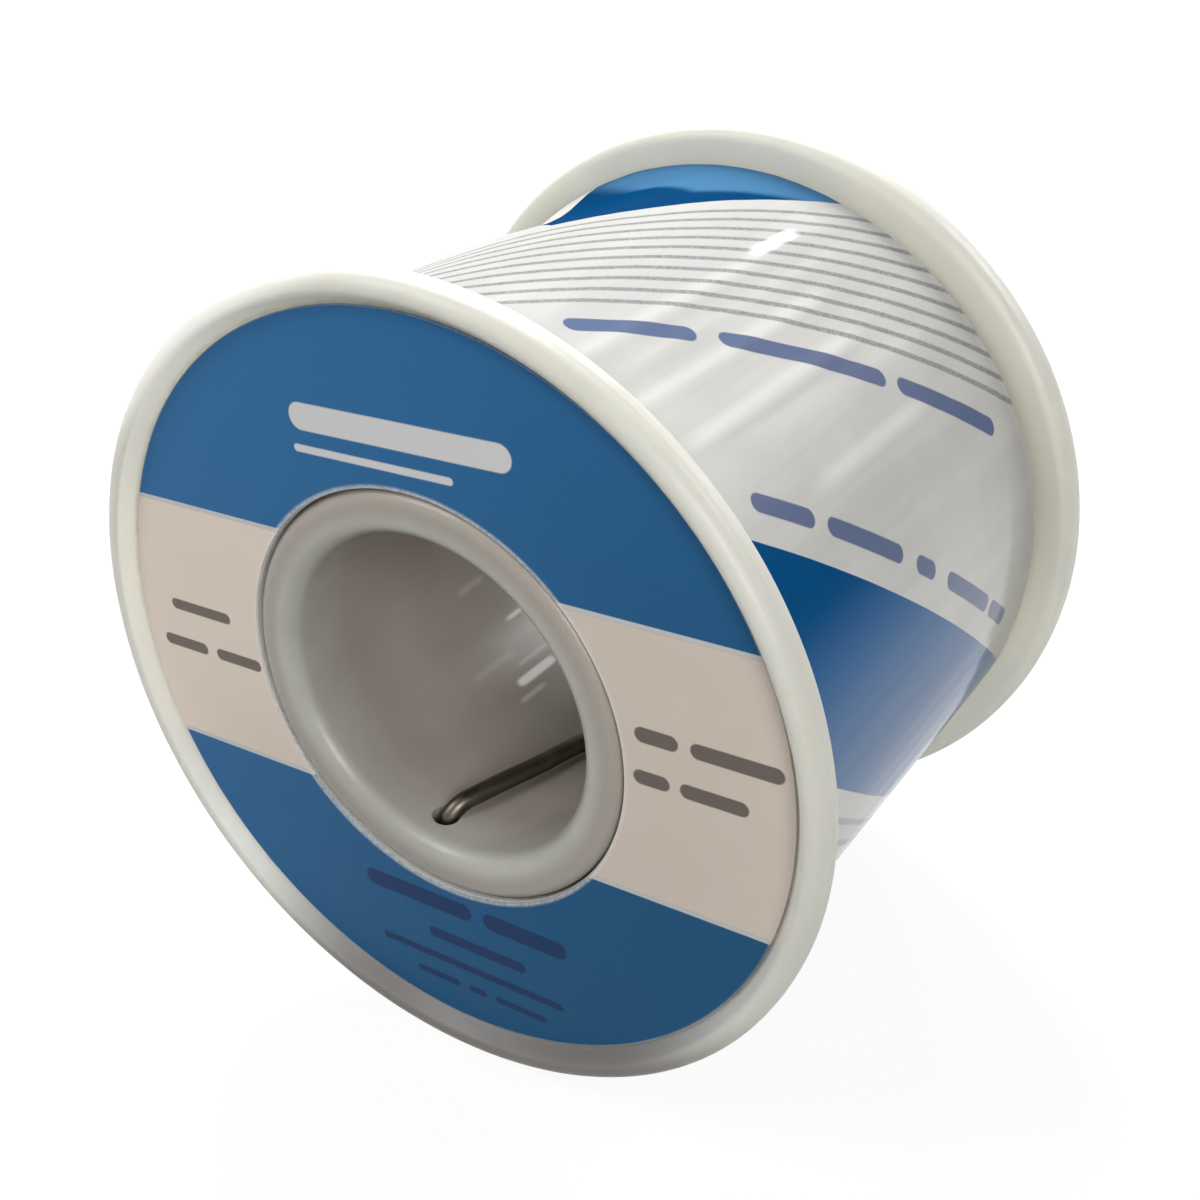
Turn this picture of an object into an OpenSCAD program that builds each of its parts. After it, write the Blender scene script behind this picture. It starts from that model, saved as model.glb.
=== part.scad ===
// A reel of flux-cored solder wire: a plastic barrel pressed through two rimmed flanges,
// wound full of wire, with a paper strip round the winding and a ring label on one face.
// The reel's axis lies along Y and its labelled face looks along -Y.
// The origin is the reel's middle, on its axis, and +Z is up as it stands on its two rims.
// All sizes are in millimetres and degrees.

/* [Flanges] */
// Diameter of both flanges
flange_d = 50; // [44:0.5:60]
// Width of the reel over both rims
reel_w = 38.2; // [32:0.2:46]
// Thickness of a flange's flat web
web_t = 1.2; // [0.8:0.1:2]
// Thickness of a flange's rim, along the axis
rim_t = 2.4; // [2:0.1:4]
// Width of a rim's crest, from its edge to its slope
rim_w = 1.15; // [1:0.05:3]
// Width of the slope from a rim's crest down to the web
slope_w = 0.65; // [0.2:0.05:1.2]
// Rounding of a rim's two outer edges
rim_round = 0.9; // [0.3:0.1:1.3]

/* [Barrel] */
// Diameter of the barrel that the wire is wound on
barrel_d = 27.2; // [26:0.2:32]
// Shoulder that each flange is pressed against, at the barrel's two ends
shoulder = 0.6; // [0.3:0.1:1.2]
// How far a collar stands out of a flange's web
collar_rise = 0.2; // [0:0.1:1]
// Rounding of a collar's outer edge
collar_round = 0.7; // [0.1:0.1:1]
// Diameter of the barrel's bore
bore_d = 20.5; // [19:0.1:22]
// How much narrower the bore's guiding stretch is, in diameter
guide_step = 0.4; // [0.4:0.05:1]
// Length of the guiding stretch, from the reel's plain end
guide_len = 13; // [10:0.5:17]
// Rounding of the bore's two mouths
lip_round = 0.95; // [0.2:0.05:1.1]
// Diameter of the hole that the wire starts through
wire_hole_d = 2.2; // [1.6:0.1:3]
// Distance of the hole's middle from the labelled flange's web
wire_hole_in = 1.3; // [1.2:0.1:4]
// Turn of the hole from straight down, towards -X
wire_hole_turn = 8; // [-40:1:40]

/* [Solder wire] */
// Diameter of the solder wire
wire_d = 1.2; // [1:0.05:1.4]
// Diameter of the wire's flux core
flux_d = 0.46; // [0.3:0.02:0.6]
// Least gap between two turns of the outer layer
turn_gap = 0.43; // [0.42:0.01:1]
// Inside radius of the bend at the wire's start
tail_bend = 1.2; // [0.8:0.1:2]
// Length of the wire's straight start past its bend
tail_len = 14; // [6:0.5:15]
// Turn of the straight start from the reel's axis, towards +X
tail_yaw = 18.5; // [0:0.5:22]
// Climb of the straight start
tail_climb = 2; // [0:0.5:6]

/* [Labels] */
// Diameter over the paper strip round the winding
wrap_d = 45.7; // [43:0.1:47]
// Thickness of the paper strip
wrap_t = 0.2; // [0.1:0.05:0.4]
// Overlap of the strip's two ends, as an angle round the reel
lap_angle = 18; // [8:1:40]
// Where the overlap's middle lies round the reel, from straight up towards +X
lap_turn = 205; // [120:5:240]
// Thickness of the ring label
label_t = 0.15; // [0.1:0.05:0.3]

/* [Hidden] */
// Clearance of a collar in its flange, all round
collar_gap = 0.05;
// Clearance of the winding on the barrel, all round
barrel_gap = 0.05;
// Gap from the plain layers to a flange
side_gap = 0.1;
// Gap from the outer layer's first and last turns to a flange
turn_side_gap = 0.3;
// Gap from the plain layers to the outer layer
layer_gap = 0.25;
// Gap from the outer layer to the paper strip
wrap_gap = 0.1;
// Gap from the paper strip to a flange
wrap_side_gap = 0.6;
// Gap from the ring label to the recess and to the collar
label_gap = 0.1;
// Clearance of the flux core in the wire
flux_gap = 0.02;
// Gap from the wire's straight start to the bore's wall
tail_gap = 0.05;
// Extra length of a cutter past the surface that it opens
over = 1;
// Flat that stays between two roundings
flat_min = 0.1;

flange_r = flange_d / 2;
half_w = reel_w / 2;
web_in = half_w - rim_t;
web_out = web_in + web_t;
recess_r = flange_r - rim_w - slope_w;
barrel_r = barrel_d / 2;
collar_r = barrel_r - shoulder;
collar_out = web_out + collar_rise;
bore_r = bore_d / 2;
guide_r = bore_r - guide_step / 2;
rim_edge_r = min(rim_round, rim_t / 2 - flat_min, rim_w - flat_min);
lip_r = min(lip_round, (collar_r - guide_r) / 2 - flat_min);
collar_edge_r = min(collar_round, (collar_r - guide_r) / 2 - flat_min);

wire_r = wire_d / 2;
wrap_out = wrap_d / 2;
wrap_in = wrap_out - wrap_t;
turn_r = wrap_in - wrap_gap - wire_r;
core_in = barrel_r + barrel_gap;
core_out = turn_r - wire_r - layer_gap;
core_half = web_in - side_gap;
turn_space = 2 * (web_in - turn_side_gap) - wire_d;
loops = floor(turn_space / (wire_d + turn_gap));
pitch = turn_space / loops;
loop_rings = 24;
wire_sides = 6;
end_straight = wire_d;

hole_y = -(web_in - wire_hole_in);
flux_r = flux_d / 2;
flux_hole_r = flux_r + flux_gap;
label_in = collar_r + label_gap;
label_out = recess_r - label_gap;

fine = 72;
edge_fn = 32;
bend_fn = 24;
thin_fn = 12;

plastic = [0.86, 0.85, 0.80];
barrel_plastic = [0.78, 0.75, 0.70];
print_blue = [0.20, 0.39, 0.60];
cream = [0.90, 0.88, 0.80];
solder_grey = [0.70, 0.71, 0.72];
rosin = [0.80, 0.55, 0.20];

// Takes the material off one corner of a profile, so that the corner is round.
// The corner is at x and y, and the body lies from it in the directions along and up.
module round_off(x, y, r, along, up) {
    translate([x + along * r, y + up * r]) difference() {
        translate([along < 0 ? 0 : -r - over, up < 0 ? 0 : -r - over]) square(r + over);
        circle(r = r, $fn = edge_fn);
    }
}

// Turns a shape made along +Z so that it lies along +Y.
module along_y() {
    rotate([-90, 0, 0]) children();
}

// Profile of a flange, as radius and distance out from the reel's middle.
module flange_profile(hole_r) {
    difference() {
        polygon([
            [hole_r, web_in], [flange_r, web_in], [flange_r, half_w],
            [recess_r + slope_w, half_w], [recess_r, web_out], [hole_r, web_out]]);
        round_off(flange_r, web_in, rim_edge_r, -1, 1);
        round_off(flange_r, half_w, rim_edge_r, -1, -1);
    }
}

// Flange on the +Y side, with the hole that the barrel's collar fills.
module flange() {
    along_y() rotate_extrude($fn = fine) flange_profile(collar_r + collar_gap);
}

// Profile of the barrel: rounded collars, shoulders at the webs, and the bore with its guide.
module barrel_profile() {
    guide_at = collar_out - guide_len;
    difference() {
        polygon([
            [bore_r, -collar_out], [collar_r, -collar_out], [collar_r, -web_in], [barrel_r, -web_in],
            [barrel_r, web_in], [collar_r, web_in], [collar_r, collar_out], [guide_r, collar_out],
            [guide_r, guide_at], [bore_r, guide_at - guide_step / 2]]);
        round_off(bore_r, -collar_out, lip_r, 1, 1);
        round_off(collar_r, -collar_out, collar_edge_r, -1, 1);
        round_off(collar_r, collar_out, collar_edge_r, -1, -1);
        round_off(guide_r, collar_out, lip_r, 1, -1);
    }
}

module barrel() {
    color(barrel_plastic) difference() {
        along_y() rotate_extrude($fn = fine) barrel_profile();
        translate([0, hole_y, 0]) rotate([180, wire_hole_turn, 0])
            translate([0, 0, guide_r - over]) cylinder(d = wire_hole_d, h = barrel_r - guide_r + 2 * over, $fn = bend_fn);
    }
}

module front_flange() {
    color(plastic) mirror([0, 1, 0]) flange();
}

module rear_flange() {
    color(plastic) flange();
}

// A plain ring about the reel's axis, between two distances along it.
module ring(inner, outer, low, high) {
    translate([0, low, 0]) along_y() difference() {
        cylinder(r = outer, h = high - low, $fn = fine);
        translate([0, 0, -over]) cylinder(r = inner, h = high - low + 2 * over, $fn = fine);
    }
}

// Every layer of wire under the outer one, as one plain body.
module solder_inner_layers() {
    color(solder_grey) ring(core_in, core_out, -core_half, core_half);
}

// Middle of the wound wire at a count of rings from the first one.
function turn_angle(i) = 360 * i / loop_rings;
function turn_point(i) =
    [turn_r * sin(turn_angle(i)), -turn_space / 2 + pitch * i / loop_rings, turn_r * cos(turn_angle(i))];
function turn_out(i) = [sin(turn_angle(i)), 0, cos(turn_angle(i))];
function turn_along(i) =
    let(way = [turn_r * cos(turn_angle(i)) * PI * 2 / pitch, 1, -turn_r * sin(turn_angle(i)) * PI * 2 / pitch])
    way / norm(way);

// One ring of the wire's skin.
function wire_ring(middle, out, along) =
    let(across = cross(along, out))
    [for (k = [0:wire_sides - 1]) let(a = 360 * k / wire_sides) middle + wire_r * (cos(a) * out + sin(a) * across)];

// The outer layer: one unbroken wire that winds from flange to flange, with straight ends.
module solder_outer_layer() {
    last = loops * loop_rings;
    middles = concat(
        [turn_point(0) - end_straight * turn_along(0)],
        [for (i = [0:last]) turn_point(i)],
        [turn_point(last) + end_straight * turn_along(last)]);
    outs = concat([turn_out(0)], [for (i = [0:last]) turn_out(i)], [turn_out(last)]);
    ways = concat([turn_along(0)], [for (i = [0:last]) turn_along(i)], [turn_along(last)]);
    rings = len(middles);
    points = [for (i = [0:rings - 1]) each wire_ring(middles[i], outs[i], ways[i])];
    sides = [for (i = [0:rings - 2], k = [0:wire_sides - 1])
        let(
            a = i * wire_sides + k,
            b = i * wire_sides + (k + 1) % wire_sides,
            c = a + wire_sides,
            d = b + wire_sides)
        each [[a, b, c], [b, d, c]]];
    first_cap = [for (k = [1:wire_sides - 2]) [0, k + 1, k]];
    base = (rings - 1) * wire_sides;
    last_cap = [for (k = [1:wire_sides - 2]) [base, base + k, base + k + 1]];
    gaps = [for (i = [0:rings - 1 - loop_rings / 2], j = [i + loop_rings / 2:min(rings - 1, i + 2 * loop_rings)])
        norm(middles[j] - middles[i]) - wire_d];
    echo(outer_layer_loops = loops, least_gap_between_turns = min(gaps));
    color(solder_grey) polyhedron(points = points, faces = concat(first_cap, sides, last_cap));
}

// The start of the wire comes in through the barrel's hole, bends, and lies along the bore.
// It is made in its own plane: the leg along +X, the bend, then the straight start.
hole_down = [-sin(wire_hole_turn), 0, -cos(wire_hole_turn)];
tail_way = [sin(tail_yaw) * cos(tail_climb), cos(tail_yaw) * cos(tail_climb), sin(tail_climb)];
leg_way = -hole_down;
plane_normal = cross(leg_way, tail_way) / norm(cross(leg_way, tail_way));
side_way = cross(plane_normal, leg_way);
bend_angle = acos(leg_way * tail_way);
bend_r = tail_bend + wire_r;
// Radius at which the straight start's middle lies once the bend is done
tail_r = bore_r - wire_r - tail_gap;
bend_start_r = tail_r + bend_r * sin(bend_angle);
leg_len = barrel_r - bend_start_r;

module tail_frame() {
    start = [0, hole_y, 0] + bend_start_r * hole_down;
    multmatrix([
        [leg_way[0], side_way[0], plane_normal[0], start[0]],
        [leg_way[1], side_way[1], plane_normal[1], start[1]],
        [leg_way[2], side_way[2], plane_normal[2], start[2]],
        [0, 0, 0, 1]]) children();
}

// The bent wire at a given radius, longer at both ends by a given amount, with a count of sides.
module tail_path(r, extra, sides) {
    translate([-leg_len - extra, 0, 0]) rotate([0, 90, 0]) cylinder(r = r, h = leg_len + extra, $fn = sides);
    translate([0, bend_r, 0]) rotate([0, 0, -90])
        rotate_extrude(angle = bend_angle, $fn = fine) translate([bend_r, 0]) circle(r = r, $fn = sides);
    translate([bend_r * sin(bend_angle), bend_r * (1 - cos(bend_angle)), 0]) rotate([0, 90, bend_angle])
        cylinder(r = r, h = tail_len + extra, $fn = sides);
}

module solder_start_tail() {
    color(solder_grey) tail_frame() difference() {
        tail_path(wire_r, 0, bend_fn);
        tail_path(flux_hole_r, over, bend_fn);
    }
}

module rosin_flux_core() {
    color(rosin) tail_frame() union() {
        tail_path(flux_r, 0, thin_fn);
    }
}

// The paper strip round the winding, with its glued overlap.
module wrap_label() {
    wrap_half = web_in - wrap_side_gap;
    color(cream) {
        ring(wrap_in, wrap_out, -wrap_half, wrap_half);
        rotate([0, lap_turn - 90 - lap_angle / 2, 0]) rotate([-90, 0, 0]) translate([0, 0, -wrap_half])
            rotate_extrude(angle = lap_angle, $fn = fine) translate([wrap_out - wrap_t / 2, 0])
                square([wrap_t * 3 / 2, 2 * wrap_half]);
    }
}

// The ring label in the recess of the front flange, round the collar.
module front_label() {
    color(print_blue) ring(label_in, label_out, -(web_out + label_t), -web_out);
}

barrel();
front_flange();
rear_flange();
solder_inner_layers();
solder_outer_layer();
solder_start_tail();
rosin_flux_core();
wrap_label();
front_label();
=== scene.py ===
import math

import bpy
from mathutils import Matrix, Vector, noise


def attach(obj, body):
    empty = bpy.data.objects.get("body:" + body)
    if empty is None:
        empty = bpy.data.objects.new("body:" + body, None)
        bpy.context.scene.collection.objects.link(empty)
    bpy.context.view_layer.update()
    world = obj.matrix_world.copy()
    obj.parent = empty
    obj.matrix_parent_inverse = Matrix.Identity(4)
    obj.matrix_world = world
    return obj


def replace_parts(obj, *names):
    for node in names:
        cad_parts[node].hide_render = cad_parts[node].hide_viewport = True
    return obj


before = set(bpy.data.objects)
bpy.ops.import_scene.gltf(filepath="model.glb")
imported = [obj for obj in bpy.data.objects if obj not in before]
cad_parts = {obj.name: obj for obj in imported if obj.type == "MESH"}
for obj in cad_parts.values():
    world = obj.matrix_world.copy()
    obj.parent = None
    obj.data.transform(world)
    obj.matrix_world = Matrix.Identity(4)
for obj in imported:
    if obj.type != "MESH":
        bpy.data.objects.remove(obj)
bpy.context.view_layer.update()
mm = 0.001
print("solder reel: frame loaded")


# ---- view: made first, nothing on the reel hangs free ----
camera = {
    "place": (47.404, -72.339, 48.427),
    "turn": 33.4,       # round from straight at the label, towards +X
    "down": 30.19,      # below level
    "lens": 45.885,     # on a 36 mm wide square picture
}


def placeCamera():
    data = bpy.data.cameras.new("benchCamera")
    data.sensor_width = 36
    data.sensor_fit = "HORIZONTAL"
    data.lens = camera["lens"]
    data.clip_start = 0.001
    shooter = bpy.data.objects.new("benchCamera", data)
    bpy.context.scene.collection.objects.link(shooter)
    shooter.location = Vector(camera["place"]) * mm
    shooter.rotation_euler = (math.radians(90 - camera["down"]), 0, math.radians(camera["turn"]))
    bpy.context.scene.camera = shooter


placeCamera()


# ---- mesh helpers ----
def pieceFrom(name, points, faces, finish, sharpDegrees=38):
    mesh = bpy.data.meshes.new(name)
    mesh.from_pydata([Vector(p) * mm for p in points], [], faces)
    mesh.validate()
    piece = bpy.data.objects.new(name, mesh)
    bpy.context.scene.collection.objects.link(piece)
    mesh.materials.append(finish)
    mesh.polygons.foreach_set("use_smooth", [True] * len(mesh.polygons))
    mesh.set_sharp_from_angle(angle=math.radians(sharpDegrees))
    return piece


def onAxis(angle, radius, along):
    # angle runs from straight up towards +X, in radians
    return (radius * math.sin(angle), along, radius * math.cos(angle))


def turned(outline, steps, shift=None):
    # a closed outline of (radius, along) pairs, swept all round the reel's axis
    points = []
    count = len(outline)
    for i in range(steps):
        angle = 2 * math.pi * i / steps
        for radius, along in outline:
            if shift:
                dr, dy = shift(angle, radius, along)
                radius, along = radius + dr, along + dy
            points.append(onAxis(angle, radius, along))
    faces = []
    for i in range(steps):
        j = (i + 1) % steps
        for k in range(count):
            n = (k + 1) % count
            faces.append((i * count + k, i * count + n, j * count + n, j * count + k))
    return points, faces


def curve(cx, cy, r, start, end, steps):
    # part of a circle in an outline, both ends included
    found = []
    for i in range(steps + 1):
        a = math.radians(start + (end - start) * i / steps)
        found.append((cx + r * math.cos(a), cy + r * math.sin(a)))
    return found


def line(a, b, steps):
    # points after a, up to and including b
    return [(a[0] + (b[0] - a[0]) * i / steps, a[1] + (b[1] - a[1]) * i / steps) for i in range(1, steps + 1)]


def tube(path, radius, sides, squeeze=None):
    # a round wire along a list of points; squeeze(i) gives two widths at that ring
    path = [Vector(p) for p in path]
    points, faces = [], []
    side = None
    last = len(path) - 1
    for i, here in enumerate(path):
        ahead = (path[min(i + 1, last)] - path[max(i - 1, 0)]).normalized()
        if side is None:
            side = ahead.orthogonal().normalized()
        side = (side - ahead * side.dot(ahead)).normalized()
        up = ahead.cross(side)
        wide, thick = squeeze(i) if squeeze else (1, 1)
        for k in range(sides):
            a = 2 * math.pi * k / sides
            points.append(here + side * (radius * wide * math.cos(a)) + up * (radius * thick * math.sin(a)))
    for i in range(last):
        for k in range(sides):
            n = (k + 1) % sides
            faces.append((i * sides + k, i * sides + n, (i + 1) * sides + n, (i + 1) * sides + k))
    faces.append(tuple(reversed(range(sides))))
    faces.append(tuple(last * sides + k for k in range(sides)))
    return points, faces


def wobble(x, y, z):
    return noise.noise(Vector((x, y, z)))


def soft(value, low, high):
    # 0 below low, 1 above high, smooth between
    t = min(1, max(0, (value - low) / (high - low)))
    return t * t * (3 - 2 * t)


# ---- node helpers ----
def put(tree, kind, values=None, **settings):
    # a new node; sockets among the values are linked, other values are set
    made = tree.nodes.new(kind)
    for key, value in settings.items():
        setattr(made, key, value)
    for key, value in (values or {}).items():
        if isinstance(value, bpy.types.NodeSocket):
            tree.links.new(value, made.inputs[key])
        else:
            made.inputs[key].default_value = value
    return made


def calc(tree, step, *values):
    return put(tree, "ShaderNodeMath", dict(enumerate(values)), operation=step).outputs[0]


def plus(tree, a, b):
    return calc(tree, "ADD", a, b)


def minus(tree, a, b):
    return calc(tree, "SUBTRACT", a, b)


def times(tree, found, *others):
    for other in others:
        found = calc(tree, "MULTIPLY", found, other)
    return found


def most(tree, found, mask):
    return mask if found is None else calc(tree, "MAXIMUM", found, mask)


def ramp(tree, value, low, high, atLow=0.0, atHigh=1.0):
    values = {"Value": value, "From Min": low, "From Max": high, "To Min": atLow, "To Max": atHigh}
    return put(tree, "ShaderNodeMapRange", values, interpolation_type="SMOOTHSTEP").outputs[0]


def grain(tree, where, scale, detail=3.0, rough=0.5, stretch=None):
    if stretch:
        where = put(tree, "ShaderNodeMapping", {"Vector": where, "Scale": stretch}).outputs[0]
    values = {"Vector": where, "Scale": scale, "Detail": detail, "Roughness": rough}
    return put(tree, "ShaderNodeTexNoise", values).outputs[0]


def blendColour(tree, share, a, b):
    made = put(tree, "ShaderNodeMix", data_type="RGBA")
    for index, value in ((0, share), (6, a), (7, b)):       # the factor and the two colour sockets
        if isinstance(value, bpy.types.NodeSocket):
            tree.links.new(value, made.inputs[index])
        else:
            made.inputs[index].default_value = (*value, 1) if index else value
    return made.outputs[2]


def tint(tree, colour, tone, mask, share=None):
    # lays a tone over the colour where the mask is
    return blendColour(tree, mask if share is None else times(tree, mask, share), colour, tone)


def startFinish(name):
    # a new material, with the place on the reel in millimetres
    material = bpy.data.materials.new(name)
    material.use_nodes = True
    tree = material.node_tree
    tree.nodes.clear()
    where = put(tree, "ShaderNodeTexCoord").outputs["Object"]
    place = put(tree, "ShaderNodeVectorMath", {0: where, "Scale": 1000.0}, operation="SCALE").outputs[0]
    split = put(tree, "ShaderNodeSeparateXYZ", {0: place})
    return material, tree, place, split.outputs[0], split.outputs[1], split.outputs[2]


def endFinish(tree, colour, roughness, height, depth, **sockets):
    # depth is the bump's, in millimetres; the rest are the shader's own sockets, constant or linked
    bump = put(tree, "ShaderNodeBump", {"Height": height, "Strength": 1.0, "Distance": depth * mm})
    shader = put(tree, "ShaderNodeBsdfPrincipled", {"Base Color": colour, "Roughness": roughness,
                                                    "Normal": bump.outputs[0]})
    for key, value in sockets.items():
        socket = shader.inputs[key.replace("_", " ")]
        if isinstance(value, bpy.types.NodeSocket):
            tree.links.new(value, socket)
        else:
            socket.default_value = value
    put(tree, "ShaderNodeOutputMaterial", {"Surface": shader.outputs[0]})


def reach(tree, x, z):
    # distance from the reel's axis, in millimetres
    return calc(tree, "SQRT", plus(tree, times(tree, x, x), times(tree, z, z)))


def facing(tree, x, z, right, high):
    # how far a place lies that way from the axis, as seen from the labelled end
    return plus(tree, times(tree, z, high), times(tree, x, right))


def turnPair(tree, a, b, degrees):
    # two values measured along axes that are turned by that angle
    c, n = math.cos(math.radians(degrees)), math.sin(math.radians(degrees))
    return minus(tree, times(tree, a, c), times(tree, b, n)), plus(tree, times(tree, a, n), times(tree, b, c))


def between(tree, value, low, high, blur=0.05):
    # 1 between low and high, with a soft printed edge
    rise = ramp(tree, value, low - blur, low + blur)
    fall = ramp(tree, value, high - blur, high + blur, 1.0, 0.0)
    return times(tree, rise, fall)


def bars(tree, along, up, rows, blur=0.06):
    # plain bars with round ends where words would stand: rows of (middle, height, spans)
    found = None
    for centre, tall, spans in rows:
        half = tall / 2
        off = minus(tree, up, centre)
        for low, high in spans:
            beside = calc(tree, "ABSOLUTE", minus(tree, along, (low + high) / 2))
            past = calc(tree, "MAXIMUM", minus(tree, beside, (high - low) / 2 - half), 0.0)
            found = most(tree, found, ramp(tree, reach(tree, past, off), half + blur, half - blur))
    return found


def axisLine(tree, x, z, turn, wide):
    # 1 on a line along the reel at that angle, fading to 0 at a distance of wide
    beside, ahead = turnPair(tree, x, z, turn)
    near = ramp(tree, calc(tree, "ABSOLUTE", beside), wide, 0.0)
    return times(tree, near, calc(tree, "GREATER_THAN", ahead, 0.0))


# ---- flanges: moulded ivory polystyrene discs with a raised, sloped rim ----
flange = {
    # radii from the reel's axis and places along it, in millimetres
    "radius": 24.98, "rimTop": 19.08, "webOut": 17.9, "webIn": 16.7,
    "recess": 23.2, "slopeTop": 23.85, "hole": 13.05, "rimRound": 0.86, "crestRound": 0.45, "rootRound": 0.25,
    "steps": 420,
    "seam": 0.02,           # height of the mould's parting line on the rim
    "warp": 0.035,          # how far the disc is out of true
    "pins": 4, "pinAt": 18.2, "pinTurn": 38, "pinRadius": 1.6, "pinDepth": 0.07, "pinEdge": 0.15,
    "gateAt": 15.4, "gateWay": (-0.94, 0.34), "gateRadius": 0.8, "gateHeight": 0.12,
    "plasticTones": ((0.620, 0.618, 0.563), (0.652, 0.652, 0.602)),
    "paintedSlopeLight": (0.83, 0.82, 0.765), "paintedTopShading": (0.93, 0.925, 0.88), "paintedUnderShade": (0.160, 0.148, 0.139),
    "paintedLowLight": (0.80, 0.80, 0.74), "grimeAndShadeTone": (0.36, 0.34, 0.29), "scuffTone": (0.43, 0.41, 0.36),
    "lightReach": 0.0020,       # how far light travels inside the plastic, in metres
}


def makeFlangePlastic():
    material, tree, place, x, y, z = startFinish("ivoryFlangePlastic")
    f = flange
    out = calc(tree, "ABSOLUTE", y)
    radius = reach(tree, x, z)
    fineCloud = grain(tree, place, 1.3, 3)
    colour = blendColour(tree, ramp(tree, grain(tree, place, 0.09, 4), 0.35, 0.65), *f["plasticTones"])
    # painted light on the thin foot of the rim's slope, strongest towards the top
    foot = times(tree, between(tree, radius, f["recess"] - 0.08, f["slopeTop"], 0.15),
                 between(tree, out, f["webOut"] - 0.02, f["rimTop"] - 0.08, 0.05),
                 ramp(tree, z, -18.0, 2.0, 0.15, 1.0))
    colour = tint(tree, colour, f["paintedSlopeLight"], foot)
    # painted light: the labelled one is palest at its upper left
    top = times(tree, ramp(tree, facing(tree, x, z, -0.6, 0.8), 21.3, 24.4), ramp(tree, y, -12.0, -16.0))
    colour = tint(tree, colour, f["paintedTopShading"], top, 0.9)
    # painted shade darkens the underside of the rim it stands on
    under = times(tree, ramp(tree, facing(tree, x, z, 0.174, -0.985), 14.5, 22.5),
                  ramp(tree, radius, 23.10, 23.24), ramp(tree, y, -16.6, -17.4))
    colour = tint(tree, colour, f["paintedUnderShade"], under, 0.95)
    # painted light over the lower half of the plain one
    lowLight = times(tree, ramp(tree, z, 4.0, -8.0), ramp(tree, y, 14.0, 16.0))
    colour = tint(tree, colour, f["paintedLowLight"], lowLight, 0.7)
    # a little grime and painted shade where the web meets the rim
    corner = ramp(tree, calc(tree, "ABSOLUTE", minus(tree, radius, f["recess"])), 0.22, 0.0)
    grimeAndShade = times(tree, corner, between(tree, out, 17.8, 18.15, 0.1),
                  ramp(tree, fineCloud, 0.3, 0.7, 0.10, 0.30))
    colour = tint(tree, colour, f["grimeAndShadeTone"], grimeAndShade)
    # faint handling scuffs on the rim's outer edge
    scratch = grain(tree, place, 1.0, 5, 0.7, (0.5, 6.0, 0.5))
    scuff = times(tree, ramp(tree, scratch, 0.57, 0.68), ramp(tree, radius, 24.3, 24.9))
    colour = tint(tree, colour, f["scuffTone"], scuff, 0.10)
    roughness = plus(tree, ramp(tree, fineCloud, 0.3, 0.7, 0.34, 0.44), times(tree, scuff, 0.10))
    # orange peel, the mould's turning marks and the scuffs' own relief
    marks = calc(tree, "SINE", times(tree, radius, 21.0))
    peel = grain(tree, place, 2.2, 2)
    height = plus(tree, times(tree, marks, 0.015), times(tree, peel, 0.7))
    height = minus(tree, height, times(tree, scuff, 0.15))
    endFinish(tree, colour, roughness, height, 0.02,
              Subsurface_Weight=0.75, Subsurface_Scale=f["lightReach"], Subsurface_Radius=(1.0, 0.95, 0.8),
              Specular_IOR_Level=0.30, Coat_Weight=0.04, Coat_Roughness=0.2)
    return material


def flangeOutline(webRings):
    f = flange
    top, rim, edge = f["rimTop"], f["radius"], f["rimRound"]
    slope = math.degrees(math.atan2(top - f["webOut"], f["slopeTop"] - f["recess"]))
    shorter = math.tan(math.radians(slope / 2))     # how much a rounding takes off each side, per radius
    root, crest = f["rootRound"], f["crestRound"]
    foot, brow = f["recess"] - root * shorter, f["slopeTop"] + crest * shorter
    shape = [(f["hole"], f["webOut"])]
    shape += line(shape[-1], (foot, f["webOut"]), webRings)
    shape += curve(foot, f["webOut"] + root, root, -90, slope - 90, 5)[1:]
    shape += curve(brow, top - crest, crest, slope + 90, 90, 5)
    shape += curve(rim - edge, top - edge, edge, 90, 4, 11)
    middle = (top + f["webIn"]) / 2
    shape += [(rim, middle + 0.06), (rim + f["seam"], middle), (rim, middle - 0.06)]
    shape += curve(rim - edge, f["webIn"] + edge, edge, -4, -90, 11)
    shape += line(shape[-1], (f["hole"], f["webIn"]), 14)
    return shape


def makeFlange(name, side, plastic):
    f = flange
    bare = side > 0     # the labelled flange's web is covered

    def ejectorMarks(x, z):
        dip, edge = 0, f["pinEdge"]
        for k in range(f["pins"]):
            a = math.radians(f["pinTurn"] + 360 * k / f["pins"])
            gap = math.hypot(x - f["pinAt"] * math.sin(a), z - f["pinAt"] * math.cos(a))
            dip -= f["pinDepth"] * (1 - soft(gap, f["pinRadius"] - edge, f["pinRadius"] + edge))
        return dip

    def gateStub(x, z):
        right, high = f["gateWay"]
        gap = math.hypot(x - f["gateAt"] * right, z - f["gateAt"] * high)
        stub = 1 - soft(gap, f["gateRadius"] - 0.25, f["gateRadius"] + 0.1)
        return stub * f["gateHeight"] * (0.8 + 0.5 * wobble(x * 2.5, z * 2.5, 9.0))

    def shift(angle, radius, along):
        x, _, z = onAxis(angle, radius, 0)
        lean = wobble(x * 0.05 + side * 7, z * 0.05, 1.3) + 0.35 * wobble(x * 0.16, z * 0.16, side * 4.0)
        dy = f["warp"] * lean * soft(radius, 20, 24)
        if bare and along > f["webOut"] - 0.01 and radius < f["recess"] - 0.4:
            dy += ejectorMarks(x, z) + gateStub(x, z)
        return 0.012 * wobble(x * 0.2, z * 0.2, along), min(dy, 0.02) if along > 18.9 else dy

    points, faces = turned(flangeOutline(40 if bare else 6), f["steps"], shift)
    points = [(p[0], p[1] * side, p[2]) for p in points]
    if side > 0:
        faces = [tuple(reversed(face)) for face in faces]
    piece = pieceFrom(name, points, faces, plastic)
    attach(piece, "root")
    return piece


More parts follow.
